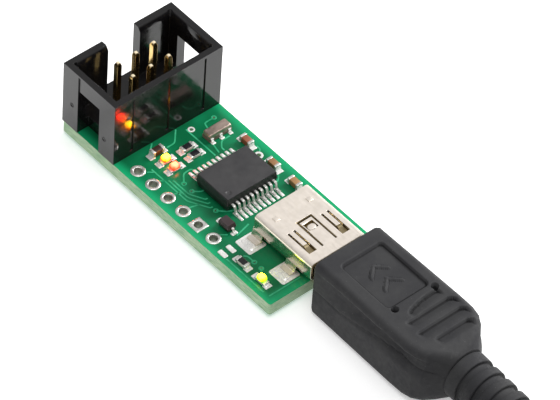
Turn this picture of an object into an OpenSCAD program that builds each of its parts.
// USB microcontroller programmer: a small circuit board with a shrouded header at one end and a
// mini USB socket at the other, and the USB lead that plugs into it. Millimetres, +Z up.
// +Y runs from the USB end to the header end, and Z = 0 is the bench that it lies on.

/* [Circuit board] */
// Width of the board, across its long edges
board_w = 15.2; // [15:0.1:16]
// Length of the board, from the header end to the socket end
board_l = 34.9; // [34.9:0.1:35.5]
// Thickness of the board
board_t = 1.6; // [1.2:0.1:2]
// Height of the board's underside above the bench
stand_off = 0.5; // [0.4:0.1:1]

/* [Edge holes] */
// Spacing of the row of holes
hole_pitch = 2.54; // [2.5:0.01:2.54]
// How many holes are in the row
hole_count = 6; // [4:1:6]
// Finished diameter of each plated hole
hole_d = 1; // [0.8:0.1:1.1]
// Distance of the row from the board's long edge
hole_inset = 1.54; // [1.4:0.01:1.6]
// Outside diameter of each pad
hole_pad_d = 1.7; // [1.5:0.1:1.8]

/* [Box header] */
// Length of the shroud, across the board
header_w = 15.3; // [15.3:0.1:15.6]
// Width of the shroud, along the board
header_d = 8.8; // [8.8:0.1:9.1]
// Height of the shroud above the board
header_h = 8.9; // [8.8:0.1:9.2]
// Wall thickness of the shroud
header_wall = 1.15; // [1:0.05:1.2]
// Thickness of the shroud's floor
header_floor = 1.6; // [1.4:0.1:2]
// Width of the key notch
notch_w = 4.5; // [4.3:0.1:4.8]
// Width of the window in each end
window_w = 3.65; // [3:0.05:4]
// Height of each window above the board
window_h = 6.4; // [5:0.1:6.8]
// Side of each square pin
pin_side = 0.64; // [0.6:0.01:0.64]
// Height of the pin tips above the board
pin_top = 8.3; // [7.5:0.1:8.5]

/* [USB socket] */
// How far the socket and plug lie to the right of the board's centre line
usb_x = 1; // [0.8:0.1:1.2]
// Outside width of the socket's shell
socket_w = 7.7; // [7.7:0.05:7.8]
// Length of the socket's shell
socket_l = 9; // [8.8:0.1:9.2]
// Thickness of the socket's sheet metal
socket_wall = 0.3; // [0.25:0.05:0.3]

/* [USB plug] */
// Width of the plug's moulding at its front
plug_w = 9.4; // [9:0.1:9.8]
// Height of the plug's moulding
plug_h = 7.9; // [7.5:0.1:8]
// Length of the plug's moulding
plug_l = 19; // [19:0.5:20]
// Length of the strain relief behind the plug
relief_l = 12; // [12:0.5:13]
// How far the plug draws out
plug_travel = 8; // [8:0.5:10]

/* [Cord] */
// Diameter of the cord
cord_d = 4; // [3.6:0.1:4]
// Radius of the coil at the middle of its turns
coil_r = 22; // [21:0.5:23]

/* [Hidden] */

// A small length that carries a cut clear of the face it cuts
eps = 0.05;
// Thickness of the copper and tin pads on the board
pad_t = 0.04;
// Thickness of the plating in each edge hole
barrel = 0.05;

// Places on the board: X and Y from the board's centre, Z from its upper face
header_x = 0;
header_overhang = 0.05;
header_y = board_l / 2 + header_overhang - header_d / 2;
pin_pitch = 2.54;
pin_hole_d = 1;
pin_low = -board_t - stand_off;
hole_x = -board_w / 2 + hole_inset;
square_hole = hole_count - 2;
socket_back = -9.15;
socket_front = socket_back - socket_l;
socket_top = 3.9;
socket_low = 0.1;
tab_ys = [-9.4, -14.9];
tongue_free_y = -12.7;
slot_front_y = -17;
slot_back_y = -13.4;
peg_y = -11.2;
peg_x = 2.2;
peg_d = 0.9;
mcu_at = [1.08, -1.8];
diode_at = [-3.8, -5.95];
yellow_at = [-2.75, 5.6];
red_at = [-2.75, 4.1];
green_at = [-6, -14.25];
resistor_1_at = [0.3, 5.6];
resistor_2_at = [0.3, 4.3];
resistor_3_at = [-6, -11.1];
capacitor_1_at = [6, 2.2];
capacitor_2_at = [6, -2.25];
capacitor_3_at = [6, -5.85];
capacitor_4_at = [-2.75, 7.1];
resonator_at = [4.4, 5.35];
spare_pads_at = [-6.15, -8.7];
via_d = 0.3;
via_ats = [[-3.35, 1.8], [-3.4, 0.4], [-3.2, -3.4], [-4.85, -11.7], [-4.85, -12.85], [5.7, 7.4]];
// Bare plated test holes: X, Y, diameter of the hole and of its pad
test_holes = [[2.55, 7.55, 0.4, 0.85], [5.85, 0, 0.5, 1.1]];

// The plug, along Y from the board's centre
plug_front = -19.5;
plug_back = plug_front - plug_l;
relief_end = plug_back - relief_l;
plug_z = plug_h / 2 - board_t - stand_off;
plug_tip = -12.7;
plug_slot_low = 0.95;
tongue_z = 1.9;
tongue_t = 0.7;
contact_pitch = 0.8;
contact_w = 0.34;

// The whole stands with its own middle at Y = 0, measured without the cord
board_y = -(relief_end + header_y + header_d / 2) / 2;
board_z = board_t + stand_off;

// Small parts on the board
chip_l = 1.6;
chip_w = 0.8;
resistor_h = 0.45;
capacitor_h = 0.8;
terminal_l = 0.3;
led_base_h = 0.3;
led_lens_h = 0.55;

// Resonator
resonator_l = 3.2;
resonator_w = 1.3;
resonator_base_h = 0.45;
resonator_lid_h = 0.55;
resonator_pitch = 1.25;

// MCU package
mcu_l = 7.2;
mcu_w = 5.3;
mcu_top = 1.9;
mcu_low = 0.14;
mcu_seam = 1;
mcu_draft = 0.16;
lead_pitch = 0.65;
leads_per_side = 10;
lead_w = 0.3;
lead_t = 0.15;
lead_span = 7.8;

// The inside of the plug's metal shell, half width and height of each step of its outline
mini_half_w = 3.4;
mini_foot_half_w = 2.75;
mini_h = 3;
mini_wall = 0.25;
mini_gap = 0.1;
mini_low = 0.5;

// The cord's route where it isn't coiled, in the frame of the whole part
run_route = [
    [1, -34, 3.95], [1, -36, 3.95], [1, -38, 3.85], [1, -40, 3.6], [1, -42, 3.2],
    [1, -44, 2.75], [1, -46, 2.35], [1, -48, 2.1], [1, -50, 2], [1, -52, 2]
];
tail_route = [
    [-51, -52, 6], [-51, -49, 6], [-51, -46, 6], [-51, -43, 6], [-51, -40, 5.8],
    [-51, -37, 5.3], [-51, -34, 4.7], [-51, -32, 4.3], [-51, -30, 4.05], [-51, -28, 4]
];
cord_sides = 10;
coil_columns = 3;
coil_layers = 2;
coil_at = [-25, -52];
coil_half_w = coil_columns * cord_d / 2;
coil_h = coil_layers * cord_d;
tie_w = 6;
tie_t = 0.6;

// The plug on the far end of the cord
far_x = -51;
far_z = 4;
far_cord_y = -28;
far_relief_l = 12;
far_mould_w = 15.6;
far_mould_h = 8;
far_mould_l = 27;
far_shell_w = 12;
far_shell_h = 4.5;
far_shell_l = 18.75;
far_shell_wall = 0.3;
far_insulator_h = 1.9;
far_mould_y = far_cord_y + far_relief_l;
far_shell_y = far_mould_y + far_mould_l;

$fn = 32;

module on_board() {
    translate([0, board_y, board_z]) children();
}

module at(place, turn = 0) {
    translate([place[0], place[1], 0]) rotate([0, 0, turn]) children();
}

// A plate centred in X and Y, with round corners
module round_plate(size, r, h) {
    linear_extrude(height = h) {
        square([size[0] - 2 * r, size[1]], center = true);
        square([size[0], size[1] - 2 * r], center = true);
        for (x = [-1, 1], y = [-1, 1])
            translate([x * (size[0] / 2 - r), y * (size[1] / 2 - r)]) circle(r = r);
    }
}

// A block centred in X and Y that stands on Z = low
module block(size, low = 0) {
    translate([-size[0] / 2, -size[1] / 2, low]) cube(size);
}

// An outline in X and Z, drawn along Y from y0 back to y1
module along_y(y0, y1) {
    translate([0, y0, 0]) rotate([90, 0, 0]) linear_extrude(height = y0 - y1) children();
}

function hole_y(i) = ((hole_count - 1) / 2 - i) * hole_pitch;

// ---- Circuit board ----

module circuit_board() {
    color("green") on_board() difference() {
        translate([0, 0, -board_t]) round_plate([board_w, board_l], 0.3, board_t);
        for (i = [0 : hole_count - 1])
            at([hole_x, hole_y(i)]) board_hole(hole_d + 2 * barrel);
        for (i = [0 : 5])
            at(pin_place(i)) board_hole(pin_hole_d);
        for (x = [-peg_x, peg_x])
            at([usb_x + x, peg_y]) board_hole(peg_d);
        for (v = via_ats)
            at(v) board_hole(via_d);
        for (t = test_holes)
            at(t) board_hole(t[2]);
    }
}

module board_hole(d) {
    translate([0, 0, -board_t - eps]) cylinder(d = d, h = board_t + 2 * eps);
}

module barrel_plating() {
    color("silver") on_board()
        for (i = [0 : hole_count - 1])
            at([hole_x, hole_y(i)]) difference() {
                union() {
                    translate([0, 0, -board_t]) cylinder(d = hole_d + 2 * barrel, h = board_t);
                    for (z = [0, -board_t - pad_t])
                        translate([0, 0, z])
                            if (i == square_hole)
                                block([hole_pad_d, hole_pad_d, pad_t]);
                            else
                                cylinder(d = hole_pad_d, h = pad_t);
                }
                translate([0, 0, -board_t - 2 * eps]) cylinder(d = hole_d, h = board_t + 4 * eps);
            }
}

module chip_pads(place, turn = 0) {
    inner = 0.55;
    outer = 1.27;
    at(place, turn)
        for (s = [-1, 1])
            translate([s * (inner + outer) / 2, 0, 0]) block([outer - inner, 0.9, pad_t]);
}

module solder_pads() {
    mcu_pad = [0.36, 1.5, pad_t];
    mcu_row_y = 3.75;
    tab_pad = [2.5, 2.5, pad_t];
    tab_pad_x = 4.35;
    contact_pad = [0.5, 1.1, pad_t];
    spare_pad = [0.62, 1.25, pad_t];
    spare_x = 0.58;
    diode_pad = [0.8, 0.5, pad_t];
    diode_pad_y = 1.2;
    resonator_pad = [0.5, 0.9, pad_t];
    color("silver") on_board() {
        for (s = [-1, 1], i = [0 : leads_per_side - 1])
            at([mcu_at[0] + lead_x(i), mcu_at[1] + s * mcu_row_y]) block(mcu_pad);
        for (s = [-1, 1], y = tab_ys)
            at([usb_x + s * tab_pad_x, y]) block(tab_pad);
        for (i = [-2 : 2])
            at([usb_x + i * contact_pitch, socket_back + 0.45]) block(contact_pad);
        chip_pads(yellow_at);
        chip_pads(red_at);
        chip_pads(green_at, 90);
        chip_pads(resistor_1_at);
        chip_pads(resistor_2_at);
        chip_pads(resistor_3_at, 90);
        chip_pads(capacitor_1_at, 90);
        chip_pads(capacitor_2_at, 90);
        chip_pads(capacitor_3_at, 90);
        chip_pads(capacitor_4_at);
        for (s = [-1, 1])
            at([spare_pads_at[0] + s * spare_x, spare_pads_at[1]]) block(spare_pad);
        for (s = [-1, 1])
            at([diode_at[0], diode_at[1] + s * diode_pad_y]) block(diode_pad);
        for (i = [-1 : 1])
            at([resonator_at[0] + i * resonator_pitch, resonator_at[1] - 0.55])
                block(resonator_pad);
        for (t = test_holes)
            at(t) difference() {
                cylinder(d = t[3], h = pad_t);
                translate([0, 0, -eps]) cylinder(d = t[2], h = pad_t + 2 * eps);
            }
    }
}

// ---- Box header ----

function pin_place(i) = [
    header_x + (i % 3 - 1) * pin_pitch,
    header_y + (floor(i / 3) - 0.5) * pin_pitch
];

module header_shroud() {
    in_w = header_w - 2 * header_wall;
    in_d = header_d - 2 * header_wall;
    bevel = 0.4;
    bevel_h = 0.6;
    rib_pitch = 5.1;
    groove_w = 0.45;
    groove_t = 0.15;
    color("#232323") on_board() translate([header_x, header_y, 0]) difference() {
        block([header_w, header_d, header_h]);
        block([in_w, in_d, header_h], header_floor);
        // Lead-in bevel round the rim
        for (s = [-1, 1]) {
            rotate([90, 0, 90]) translate([0, 0, -in_w / 2 - bevel])
                linear_extrude(height = in_w + 2 * bevel)
                    bevel_outline(s, in_d / 2, bevel, bevel_h);
            rotate([90, 0, 0]) translate([0, 0, -in_d / 2 - bevel])
                linear_extrude(height = in_d + 2 * bevel)
                    bevel_outline(s, in_w / 2, bevel, bevel_h);
        }
        // Key notch in the long wall at the board's end
        translate([-notch_w / 2, in_d / 2 - eps, header_floor])
            cube([notch_w, header_wall + 2 * eps, header_h]);
        // A window in each end, open down to the board, and a shallow panel over it
        for (s = [-1, 1]) {
            translate([s * (header_w / 2 - 0.8), 0, 0])
                block([1.6 + eps, window_w, window_h + eps], -eps);
            translate([s * header_w / 2, 0, 0])
                block([0.3, window_w, header_h - window_h - 0.25], window_h);
        }
        // Shallow grooves down the long wall that faces the board
        for (x = [-1, 0, 1])
            translate([x * rib_pitch, -header_d / 2, 0])
                block([groove_w, 2 * groove_t, header_h - 1], 0.6);
        for (i = [0 : 5])
            translate([pin_place(i)[0] - header_x, pin_place(i)[1] - header_y, 0])
                block([pin_side, pin_side, header_floor + 2 * eps], -eps);
    }
}

module bevel_outline(s, half, bevel, bevel_h) {
    polygon([
        [s * (half - eps), header_h + eps], [s * (half + bevel), header_h + eps],
        [s * (half + bevel), header_h], [s * half, header_h - bevel_h],
        [s * (half - eps), header_h - bevel_h]
    ]);
}

// A square pin with a blunt point at each end
module header_pin(i) {
    tip_h = 0.45;
    tip_half = 0.16;
    half = pin_side / 2;
    outline = [
        [-tip_half, pin_low], [tip_half, pin_low], [half, pin_low + tip_h / 2],
        [half, pin_top - tip_h], [tip_half, pin_top], [-tip_half, pin_top],
        [-half, pin_top - tip_h], [-half, pin_low + tip_h / 2]
    ];
    color("gold") on_board() at(pin_place(i)) intersection() {
        rotate([90, 0, 0]) linear_extrude(height = 2, center = true) polygon(outline);
        rotate([90, 0, 90]) linear_extrude(height = 2, center = true) polygon(outline);
    }
}

module header_pin_1() { header_pin(0); }
module header_pin_2() { header_pin(1); }
module header_pin_3() { header_pin(2); }
module header_pin_4() { header_pin(3); }
module header_pin_5() { header_pin(4); }
module header_pin_6() { header_pin(5); }

// Solder that fills each plated hole and tapers down the pin under the board
module header_solder_joints() {
    fillet_h = 0.36;
    color("silver") on_board()
        for (i = [0 : 5])
            at(pin_place(i)) difference() {
                union() {
                    translate([0, 0, -board_t]) cylinder(d = pin_hole_d, h = board_t);
                    translate([0, 0, -board_t - fillet_h])
                        cylinder(d1 = 0.95, d2 = 1.75, h = fillet_h);
                }
                block([pin_side, pin_side, board_t + 2], -board_t - 1);
            }
}

// ---- MCU ----

function lead_x(i) = (i - (leads_per_side - 1) / 2) * lead_pitch;

module mcu_outline(half) {
    polygon([
        [-half + mcu_draft, mcu_low], [half - mcu_draft, mcu_low], [half, mcu_seam - 0.08],
        [half, mcu_seam + 0.08], [half - mcu_draft, mcu_top], [-half + mcu_draft, mcu_top],
        [-half, mcu_seam + 0.08], [-half, mcu_seam - 0.08]
    ]);
}

module mcu_package() {
    color("#2c2c2e") on_board() at(mcu_at) difference() {
        intersection() {
            rotate([90, 0, 0]) linear_extrude(height = mcu_w, center = true)
                mcu_outline(mcu_l / 2);
            rotate([90, 0, 90]) linear_extrude(height = mcu_l, center = true)
                mcu_outline(mcu_w / 2);
        }
        translate([-mcu_l / 2 + 0.9, -mcu_w / 2 + 0.9, mcu_top - 0.08]) cylinder(d = 0.7, h = 1);
    }
}

module gull_lead() {
    knee = mcu_w / 2 + 0.42;
    shin = knee + 0.3;
    toe = lead_span / 2;
    rotate([90, 0, 90]) linear_extrude(height = lead_w, center = true)
        polygon([
            [mcu_w / 2, mcu_seam + lead_t / 2], [knee, mcu_seam + lead_t / 2],
            [shin, pad_t + lead_t], [toe, pad_t + lead_t], [toe, pad_t],
            [shin - lead_t, pad_t], [knee - lead_t, mcu_seam - lead_t / 2],
            [mcu_w / 2, mcu_seam - lead_t / 2]
        ]);
}

module mcu_leads() {
    color("silver") on_board() at(mcu_at)
        for (turn = [0, 180], i = [0 : leads_per_side - 1])
            rotate([0, 0, turn]) translate([lead_x(i), 0, 0]) gull_lead();
}

// ---- Diode ----

module diode_body() {
    half_w = 0.62;
    half_l = 0.85;
    top = 1;
    color("#2b2426") on_board() at(diode_at) intersection() {
        rotate([90, 0, 0]) linear_extrude(height = 2 * half_l, center = true)
            polygon([
                [-half_w + 0.1, 0.1], [half_w - 0.1, 0.1], [half_w, 0.5],
                [half_w - 0.12, top], [-half_w + 0.12, top], [-half_w, 0.5]
            ]);
        rotate([90, 0, 90]) linear_extrude(height = 2 * half_w, center = true)
            polygon([
                [-half_l + 0.1, 0.1], [half_l - 0.1, 0.1], [half_l, 0.4], [half_l, 0.6],
                [half_l - 0.12, top], [-half_l + 0.12, top], [-half_l, 0.6], [-half_l, 0.4]
            ]);
    }
}

module diode_leads() {
    color("silver") on_board() at(diode_at)
        for (turn = [0, 180])
            rotate([0, 0, turn]) rotate([90, 0, 90]) linear_extrude(height = 0.32, center = true)
                polygon([
                    [0.85, 0.57], [1.02, 0.57], [1.12, 0.16], [1.35, 0.16], [1.35, pad_t],
                    [1, pad_t], [0.93, 0.43], [0.85, 0.43]
                ]);
}

// ---- Chip parts ----

// The two end caps of a chip part
module chip_terminals(place, h, turn = 0) {
    at(place, turn)
        for (s = [-1, 1])
            translate([s * (chip_l - terminal_l) / 2, 0, 0])
                block([terminal_l, chip_w, h], pad_t);
}

module chip_body(place, h, turn = 0) {
    at(place, turn) block([chip_l - 2 * terminal_l, chip_w, h], pad_t);
}

module resistor_1_body() { color("#1f1f22") on_board() chip_body(resistor_1_at, resistor_h); }
module resistor_2_body() { color("#1f1f22") on_board() chip_body(resistor_2_at, resistor_h); }
module resistor_3_body() { color("#1f1f22") on_board() chip_body(resistor_3_at, resistor_h, 90); }

module resistor_terminals() {
    color("silver") on_board() {
        chip_terminals(resistor_1_at, resistor_h);
        chip_terminals(resistor_2_at, resistor_h);
        chip_terminals(resistor_3_at, resistor_h, 90);
    }
}

module capacitor(place, turn = 90) {
    color("#9a6a48") on_board() chip_body(place, capacitor_h, turn);
}

module capacitor_1_body() { capacitor(capacitor_1_at); }
module capacitor_2_body() { capacitor(capacitor_2_at); }
module capacitor_3_body() { capacitor(capacitor_3_at); }
module capacitor_4_body() { capacitor(capacitor_4_at, 0); }

module capacitor_terminals() {
    color("silver") on_board() {
        for (place = [capacitor_1_at, capacitor_2_at, capacitor_3_at])
            chip_terminals(place, capacitor_h, 90);
        chip_terminals(capacitor_4_at, capacitor_h);
    }
}

module led_base(place, turn = 0) {
    color("#e8e4d4") on_board()
        at(place, turn) block([chip_l - 2 * terminal_l, chip_w, led_base_h], pad_t);
}

// A lens with sloping ends on the middle of the base
module led_lens(place, turn = 0) {
    low = pad_t + led_base_h;
    half = (chip_l - 2 * terminal_l) / 2;
    on_board() at(place, turn)
        rotate([90, 0, 0]) linear_extrude(height = chip_w, center = true)
            polygon([
                [-half, low], [half, low], [half - 0.12, low + led_lens_h],
                [-half + 0.12, low + led_lens_h]
            ]);
}

module yellow_led_base() { led_base(yellow_at); }
module yellow_led_lens() { color("yellow") led_lens(yellow_at); }
module red_led_base() { led_base(red_at); }
module red_led_lens() { color("orangered") led_lens(red_at); }
module green_led_base() { led_base(green_at, 90); }
module green_led_lens() { color("greenyellow") led_lens(green_at, 90); }

module led_terminals() {
    color("silver") on_board() {
        chip_terminals(yellow_at, led_base_h);
        chip_terminals(red_at, led_base_h);
        chip_terminals(green_at, led_base_h, 90);
    }
}

// ---- Resonator ----

module resonator_base() {
    color("#7d756b") on_board() at(resonator_at)
        block([resonator_l, resonator_w, resonator_base_h], pad_t);
}

module resonator_lid() {
    color("#c9b9a6") on_board() at(resonator_at)
        translate([0, 0, pad_t + resonator_base_h])
            round_plate([resonator_l - 0.1, resonator_w - 0.1], 0.2, resonator_lid_h);
}

// Three metal terminals that wrap up the near side of the base
module resonator_terminals() {
    wrap_t = 0.08;
    color("silver") on_board()
        for (i = [-1 : 1])
            at([resonator_at[0] + i * resonator_pitch,
                resonator_at[1] - (resonator_w + wrap_t) / 2])
                block([0.36, wrap_t, resonator_base_h], pad_t);
}

// ---- USB socket ----

// The outline of a mini USB plug, grown by g all round: wide above and narrow below
module mini_outline(g) {
    top = mini_low + mini_h;
    polygon([
        [-mini_foot_half_w - g, mini_low - g], [mini_foot_half_w + g, mini_low - g],
        [mini_foot_half_w + g, mini_low + 0.75], [mini_half_w + g, mini_low + 1.35],
        [mini_half_w + g, top + g], [-mini_half_w - g, top + g],
        [-mini_half_w - g, mini_low + 1.35], [-mini_foot_half_w - g, mini_low + 0.75]
    ]);
}

// The socket shell's outside, with round upper edges
module socket_outline() {
    r = 0.55;
    half = socket_w / 2;
    foot = mini_foot_half_w + mini_gap + socket_wall;
    polygon([
        [-foot, socket_low], [foot, socket_low], [foot, mini_low + 0.6],
        [half, mini_low + 1.2], [half, socket_top - r], [half - r, socket_top - r],
        [half - r, socket_top], [-half + r, socket_top], [-half + r, socket_top - r],
        [-half, socket_top - r], [-half, mini_low + 1.2], [-foot, mini_low + 0.6]
    ]);
    for (s = [-1, 1])
        translate([s * (half - r), socket_top - r]) circle(r = r);
}

// A foot that folds out of the shell's side onto its pad
module socket_tab(s, y) {
    w = 1.6;
    reach = 1.15;
    rise = 1.5;
    foot = mini_foot_half_w + mini_gap + socket_wall;
    translate([0, y + w / 2, 0]) rotate([90, 0, 0]) linear_extrude(height = w)
        polygon([
            [s * (foot - 0.1), rise], [s * (foot - 0.1), socket_low + 0.1],
            [s * (foot - 0.1), pad_t], [s * (foot + reach), pad_t],
            [s * (foot + reach), pad_t + socket_wall], [s * (foot + 0.45), pad_t + socket_wall],
            [s * (foot + socket_wall), pad_t + socket_wall + 0.15],
            [s * (foot + socket_wall), rise]
        ]);
}

module usb_socket_shell() {
    finger_x = 2.37;
    finger_gap = 0.2;
    finger_w = 1;
    tongue_w = 2.1;
    slot_l = slot_back_y - slot_front_y;
    cut_z = socket_top - 0.6;
    mark = [0.65, 0.65, 0.09];
    mark_y = -11;
    color("#dcd8cf") on_board() translate([usb_x, 0, 0]) {
        difference() {
            along_y(socket_back, socket_front) socket_outline();
            along_y(socket_back + eps, socket_front - eps) mini_outline(mini_gap);
            // Two spring fingers, each between a pair of slots and free at its front end
            for (s = [-1, 1]) {
                for (side = [-1, 1])
                    translate([s * finger_x + side * (finger_w - finger_gap) / 2,
                               slot_front_y + slot_l / 2, 0])
                        block([finger_gap, slot_l, 1], cut_z);
                translate([s * finger_x, slot_front_y + finger_gap, 0])
                    block([finger_w, 2 * finger_gap, 1], cut_z);
            }
            // The latch tongue, held at the front and free at the back
            for (side = [-1, 1])
                translate([side * (tongue_w - finger_gap) / 2,
                           (slot_front_y + tongue_free_y) / 2, 0])
                    block([finger_gap, tongue_free_y - slot_front_y, 1], cut_z);
            translate([0, tongue_free_y - 0.15, 0]) block([tongue_w, 0.3, 1], cut_z);
            // Clearance for the insert's pegs
            for (x = [-peg_x, peg_x])
                translate([x, peg_y, 0]) cylinder(d = peg_d, h = mini_low);
        }
        for (s = [-1, 1]) {
            // Small raised marks from the press tool
            translate([s * finger_x, mark_y, 0]) block(mark, socket_top - eps);
            for (y = tab_ys)
                socket_tab(s, y);
        }
    }
}

// Plastic body: a block across the back, a tongue into the plug and two pegs into the board
module usb_socket_insert() {
    block_front = -11.6;
    tongue_front = -16.2;
    tongue_w = 3.8;
    color("#202020") on_board() translate([usb_x, 0, 0]) {
        difference() {
            union() {
                along_y(socket_back, block_front) mini_outline(mini_gap);
                along_y(block_front, tongue_front)
                    translate([-tongue_w / 2, tongue_z - tongue_t / 2])
                        square([tongue_w, tongue_t]);
            }
            socket_contact_paths();
        }
        for (x = [-peg_x, peg_x])
            translate([x, peg_y, -board_t + 0.1]) cylinder(d = peg_d, h = board_t + 0.5);
    }
}

// Each contact runs under the tongue, through the block and down to its pad behind the socket
module socket_contact_paths() {
    front = -15.9;
    back = socket_back + 0.25;
    t = 0.15;
    z = tongue_z - tongue_t / 2 - 0.05;
    for (i = [-2 : 2])
        translate([i * contact_pitch, 0, 0]) {
            translate([0, (front + back) / 2, 0]) block([contact_w, back - front, t], z);
            translate([0, back - t / 2, 0]) block([contact_w, t, z + t - pad_t], pad_t);
            translate([0, back + 0.2, 0]) block([contact_w, 0.6, t], pad_t);
        }
}

module usb_socket_contacts() {
    color("gold") on_board() translate([usb_x, 0, 0]) socket_contact_paths();
}

// ---- Mouldings ----

// One rounded rectangle in X and Z at y, as points: half width a, half height b, corner radius r
function section(y, a, b, r, n = 8) = [
    for (q = [0 : 3], k = [0 : n - 1])
        let (
            t = 90 * (q + k / (n - 1)),
            sx = (q == 0 || q == 3) ? 1 : -1,
            sz = (q == 0 || q == 1) ? 1 : -1
        ) [sx * (a - r) + r * cos(t), y, sz * (b - r) + r * sin(t)]
];

// A closed skin over a list of sections [y, a, b, r] that run towards -Y
module loft(sections) {
    rings = [for (s = sections) section(s[0], s[1], s[2], s[3])];
    n = len(rings[0]);
    last = len(rings) - 1;
    polyhedron(
        points = [for (ring = rings, p = ring) p],
        faces = concat(
            [[for (k = [0 : n - 1]) k]],
            [[for (k = [n - 1 : -1 : 0]) last * n + k]],
            [for (j = [0 : last - 1], k = [0 : n - 1])
                [j * n + k, (j + 1) * n + k, (j + 1) * n + (k + 1) % n, j * n + (k + 1) % n]]
        )
    );
}

// ---- USB plug ----

module plug_overmould() {
    a = plug_w / 2;
    b = plug_h / 2;
    panel = [5.8, 7.8, 1];
    panel_depth = 0.35;
    groove_w = 0.75;
    dot_d = 0.95;
    color("#353536") on_board() translate([usb_x, plug_front, plug_z]) difference() {
        loft([
            [0, a - 0.35, b - 0.35, 0.7], [-0.12, a - 0.15, b - 0.15, 0.8],
            [-0.4, a, b, 0.9], [-7, a + 0.1, b, 0.9], [-13, a + 0.2, b, 1],
            [-14.5, a + 0.15, b, 1.2], [-15.7, a - 0.2, b - 0.05, 1.5],
            [-16.8, a - 0.9, b - 0.2, 1.9], [-18, a - 1.7, b - 0.5, 2.3],
            [-plug_l, a - 2.1, b - 0.9, 2.4]
        ]);
        // Sunk panel on the upper face
        translate([0.2, -5.9, b - panel_depth]) block(panel);
        for (x = [-2.3, 3.1])
            translate([x, -10.3, b - 1]) cylinder(d = dot_d, h = 2);
        // Finger grooves behind the panel, as [Y, length]
        for (g = [[-11.1, 4.8], [-12.8, 6.6], [-14.5, 6.6], [-16.2, 5]])
            translate([0.3, g[0], b - panel_depth]) block([g[1], groove_w, 1]);
    }
}

module plug_shell() {
    color("#c8c6c0") on_board() translate([usb_x, 0, 0]) difference() {
        along_y(plug_tip, plug_front) mini_outline(0);
        along_y(plug_tip + eps, plug_front - eps) mini_outline(-mini_wall);
    }
}

// Plastic core with a slot for the socket's tongue
module plug_insulator() {
    slot_end = -17.3;
    slot_w = 4.3;
    slot_h = 1.6;
    color("#202020") on_board() translate([usb_x, 0, 0]) difference() {
        along_y(plug_tip - 0.2, plug_front) mini_outline(-mini_wall);
        translate([0, (plug_tip + slot_end) / 2, 0])
            block([slot_w, plug_tip - slot_end, slot_h], plug_slot_low);
    }
}

module plug_contacts() {
    color("gold") on_board() translate([usb_x, -15.2, 0])
        for (i = [-2 : 2])
            translate([i * contact_pitch, 0, 0]) block([contact_w, 4, 0.2], plug_slot_low);
}

// A tapered sleeve with rings round it, drawn along -Y from its thick end
module strain_relief(length, r1, r2) {
    ring_t = 0.9;
    pitch = 2;
    depth = 0.45;
    rotate([90, 0, 0]) difference() {
        cylinder(r1 = r1, r2 = r2, h = length);
        for (z = [1.6 : pitch : length - 2])
            translate([0, 0, z]) difference() {
                cylinder(r = r1 + 1, h = ring_t);
                translate([0, 0, -eps])
                    cylinder(r = r1 + (r2 - r1) * z / length - depth, h = ring_t + 2 * eps);
            }
    }
}

module plug_strain_relief() {
    color("#353536") on_board() translate([usb_x, plug_back, plug_z])
        strain_relief(relief_l, 2.9, 2.4);
}

// ---- Cord ----

function heading(route, i) =
    let (
        a = route[max(i - 1, 0)],
        b = route[min(i + 1, len(route) - 1)]
    ) (b - a) / norm(b - a);

function cord_ring(route, i) =
    let (
        t = heading(route, i),
        side = cross(t, [0, 0, 1]) / norm(cross(t, [0, 0, 1])),
        up = cross(side, t)
    ) [for (k = [0 : cord_sides - 1])
        let (turn = 360 * k / cord_sides)
            route[i] + cord_d / 2 * (cos(turn) * side + sin(turn) * up)];

module cord_tube(route) {
    n = cord_sides;
    last = len(route) - 1;
    polyhedron(
        points = [for (i = [0 : last], p = cord_ring(route, i)) p],
        faces = concat(
            [[for (k = [0 : n - 1]) k]],
            [[for (k = [n - 1 : -1 : 0]) last * n + k]],
            [for (j = [0 : last - 1], k = [0 : n - 1])
                [j * n + k, (j + 1) * n + k, (j + 1) * n + (k + 1) % n, j * n + (k + 1) % n]]
        )
    );
}

module cord_run() { color("#303031") cord_tube(run_route); }
module cord_tail() { color("#303031") cord_tube(tail_route); }

// The outer shape of the coil, which rises by the strap's thickness where the strap passes under it
module cord_coil() {
    r = 1;
    color("#303031") translate([coil_at[0], coil_at[1], 0]) {
        difference() {
            rotate_extrude($fn = 96) translate([coil_r, coil_h / 2]) {
                square([2 * coil_half_w - 2 * r, coil_h], center = true);
                square([2 * coil_half_w, coil_h - 2 * r], center = true);
                for (x = [-1, 1], z = [-1, 1])
                    translate([x * (coil_half_w - r), z * (coil_h / 2 - r)]) circle(r = r);
            }
            translate([0, coil_r, 0])
                block([tie_w, 2 * coil_half_w + 1, tie_t + eps], -eps);
        }
        translate([0, coil_r, 0])
            block([tie_w, 2 * (coil_half_w - r), r + tie_t], coil_h - r);
    }
}

// A strap round the coil's turns
module cord_tie() {
    outer = 2 * (coil_half_w + tie_t);
    color("#1c1c1d") translate([coil_at[0], coil_at[1] + coil_r, 0]) difference() {
        block([tie_w, outer, coil_h + 2 * tie_t]);
        block([tie_w + 1, 2 * coil_half_w, coil_h], tie_t);
    }
}

// ---- Plug on the far end ----

module far_end(y) {
    translate([far_x, y, far_z]) rotate([0, 0, 180]) children();
}

module far_plug_strain_relief() {
    color("#353536") far_end(far_mould_y) rotate([0, 0, 180]) strain_relief(far_relief_l, 3.3, 2.5);
}

module far_plug_overmould() {
    a = far_mould_w / 2;
    b = far_mould_h / 2;
    color("#353536") far_end(far_mould_y) loft([
        [0, 3.6, 3.3, 2.8], [-1.2, 5, 3.7, 2.6], [-3.5, 6.8, b, 1.8], [-6, a, b, 1.5],
        [-far_mould_l / 2, a, b, 1.4], [-far_mould_l + 0.5, a, b, 1.4],
        [-far_mould_l, a - 0.4, b - 0.4, 1.2]
    ]);
}

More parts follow.
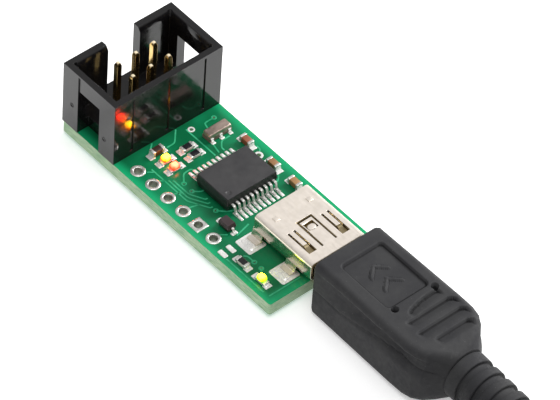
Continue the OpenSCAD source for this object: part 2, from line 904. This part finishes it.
module far_plug_shell() {
    window = [2.4, 2, 3];
    window_y = -11.5;
    color("#c8c6c0") far_end(far_shell_y) difference() {
        along_y(0, -far_shell_l)
            square([far_shell_w, far_shell_h], center = true);
        along_y(eps, -far_shell_l - eps)
            square([far_shell_w - 2 * far_shell_wall, far_shell_h - 2 * far_shell_wall],
                   center = true);
        for (x = [-3, 3])
            translate([x, window_y, 0]) block(window);
    }
}

module far_plug_insulator() {
    inset = 0.4;
    length = far_shell_l - inset;
    color("#f0efe9") far_end(far_shell_y) difference() {
        translate([0, -length / 2, 0])
            block([far_shell_w - 2 * far_shell_wall, length, far_insulator_h],
                  -far_shell_h / 2 + far_shell_wall);
        far_contact_strips();
    }
}

// Four contacts let into the insulator, the outer two longer
module far_contact_strips() {
    t = 0.2;
    top = -far_shell_h / 2 + far_shell_wall + far_insulator_h;
    front = -17.5;
    for (c = [[-3.4, -6.6], [-1.1, -7.6], [1.1, -7.6], [3.4, -6.6]])
        translate([c[0], (front + c[1]) / 2, 0]) block([1, c[1] - front, t], top - t);
}

module far_plug_contacts() {
    color("gold") far_end(far_shell_y) far_contact_strips();
}

circuit_board();
barrel_plating();
solder_pads();
header_shroud();
header_pin_1();
header_pin_2();
header_pin_3();
header_pin_4();
header_pin_5();
header_pin_6();
header_solder_joints();
mcu_package();
mcu_leads();
diode_body();
diode_leads();
usb_socket_shell();
usb_socket_insert();
usb_socket_contacts();
yellow_led_base();
yellow_led_lens();
red_led_base();
red_led_lens();
green_led_base();
green_led_lens();
led_terminals();
resistor_1_body();
resistor_2_body();
resistor_3_body();
resistor_terminals();
capacitor_1_body();
capacitor_2_body();
capacitor_3_body();
capacitor_4_body();
capacitor_terminals();
resonator_base();
resonator_lid();
resonator_terminals();
plug_overmould();
plug_shell();
plug_insulator();
plug_contacts();
plug_strain_relief();
cord_run();
cord_coil();
cord_tail();
cord_tie();
far_plug_strain_relief();
far_plug_overmould();
far_plug_shell();
far_plug_insulator();
far_plug_contacts();
